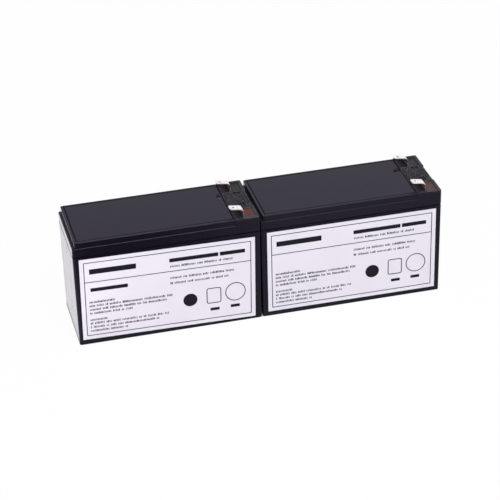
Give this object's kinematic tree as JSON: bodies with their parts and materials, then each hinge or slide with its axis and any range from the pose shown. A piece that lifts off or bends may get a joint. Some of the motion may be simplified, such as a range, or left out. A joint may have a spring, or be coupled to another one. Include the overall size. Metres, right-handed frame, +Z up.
{
  "type": "ups battery cartridge",
  "caption": "Sealed lead-acid battery cartridge: oblong black blocks end to end, with stepped lids, flush cover plates, white ruled labels and bent push-on tabs.",
  "frame": {"origin": "middle of the underside of the whole cartridge", "axes": "+X along the row of blocks, towards the terminal ends; +Y across, away from the labels; +Z up"},
  "size_m": [0.3024, 0.0651, 0.1],
  "materials": {
    "case": "smooth moulded black plastic",
    "lid": "moulded black plastic, stippled on the terminal shelf",
    "cover": "fine matte black plastic",
    "cap_rubber": "soft black rubber",
    "tab": "bright tin plate over brass",
    "red_resin": "dull red cast resin",
    "black_resin": "dull black cast resin",
    "lead": "dull cast lead",
    "positive_paste": "dark brown lead dioxide paste",
    "negative_paste": "grey sponge lead paste",
    "glass_mat": "white absorbent glass mat",
    "label": "white satin film with ruled lines"
  },
  "bodies": {
    "root": {"left_container": "case", "left_lid": "lid", "left_cover_plate": "cover", "left_vent_caps": "cap_rubber", "left_positive_tab": "tab", "left_negative_tab": "tab", "left_positive_seal": "red_resin", "left_negative_seal": "black_resin", "left_positive_post": "lead", "left_negative_post": "lead", "left_positive_plates": "positive_paste", "left_negative_plates": "negative_paste", "left_separators": "glass_mat", "left_positive_straps": "lead", "left_negative_straps": "lead", "left_intercell_welds": "lead", "left_label": "label", "right_container": "case", "right_lid": "lid", "right_cover_plate": "cover", "right_vent_caps": "cap_rubber", "right_positive_tab": "tab", "right_negative_tab": "tab", "right_positive_seal": "red_resin", "right_negative_seal": "black_resin", "right_positive_post": "lead", "right_negative_post": "lead", "right_positive_plates": "positive_paste", "right_negative_plates": "negative_paste", "right_separators": "glass_mat", "right_positive_straps": "lead", "right_negative_straps": "lead", "right_intercell_welds": "lead", "right_label": "label"}
  },
  "joints": []
}
